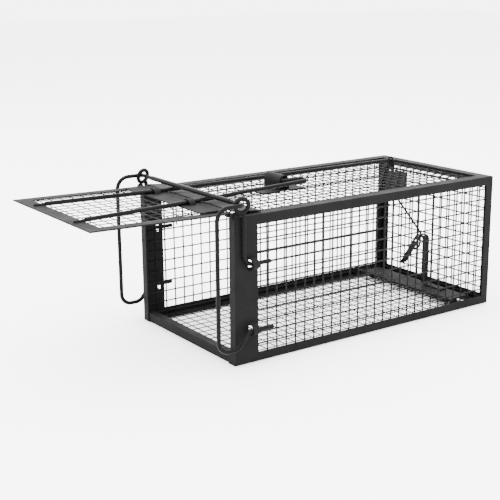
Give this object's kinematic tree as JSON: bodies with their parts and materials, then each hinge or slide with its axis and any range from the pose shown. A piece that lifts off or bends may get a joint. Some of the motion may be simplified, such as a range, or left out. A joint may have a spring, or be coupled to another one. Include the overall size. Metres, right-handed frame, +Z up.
{
  "type": "live_catch_trap",
  "caption": "Black wire and sheet-steel live catch cage trap, door raised, with wire bail, trigger rod and bait treadle",
  "frame": {"origin": "under the middle of the whole trap with its door raised, on the surface it stands on", "axes": "+X from the door end to the closed rear end, +Y to the far side, +Z up; metres"},
  "size_m": [0.381, 0.1552, 0.1296],
  "materials": {
    "sheet_black": "semi_matte",
    "mesh_black": "semi_matte",
    "wire_black": "satin"
  },
  "bodies": {
    "cage": {"side_frame_near": "sheet_black", "side_frame_far": "sheet_black", "rear_frame": "sheet_black", "front_sill": "sheet_black", "rear_leaf": "sheet_black", "arch_bracket": "sheet_black", "catch_plate": "sheet_black", "treadle_bracket_near": "sheet_black", "treadle_bracket_far": "sheet_black", "near_mesh": "mesh_black", "far_mesh": "mesh_black", "floor_mesh": "mesh_black", "top_mesh": "mesh_black", "rear_mesh": "mesh_black", "hinge_pin": "wire_black", "front_bail": "wire_black", "bail_sleeve": "wire_black", "ring_wire_near": "wire_black", "ring_wire_far": "wire_black", "treadle_pin": "wire_black"},
    "door": {"door_frame": "sheet_black", "door_mesh": "mesh_black", "door_rod_near": "wire_black", "door_rod_far": "wire_black", "front_leaf": "sheet_black", "drop_wire": "wire_black"},
    "latch": {"latch_rod": "wire_black"},
    "trigger": {"trigger_rod": "wire_black", "hook_link": "wire_black"},
    "treadle": {"treadle_plate": "sheet_black", "bait_strap": "sheet_black"}
  },
  "joints": [
    {"name": "door_hinge", "type": "hinge", "parent": "cage", "child": "door", "pos_m": [-0.0782, 0, 0.1149], "axis": [0, -1, 0], "range_deg": [0, 88.5]},
    {"name": "latch_slide", "type": "slide", "parent": "cage", "child": "latch", "axis": [1, 0, 0], "range_m": [0, 0.004]},
    {"name": "treadle_tilt", "type": "hinge", "parent": "cage", "child": "treadle", "pos_m": [0.1545, 0, 0.006], "axis": [0, 1, 0], "range_deg": [0, 4]},
    {"name": "trigger_slide", "type": "slide", "parent": "cage", "child": "trigger", "axis": [1, 0, 0], "range_m": [0, 0.0032]}
  ],
  "couplings": [
    {"joint": "trigger_slide", "follows": "treadle_tilt", "m_per_rad": 0.0454}
  ]
}
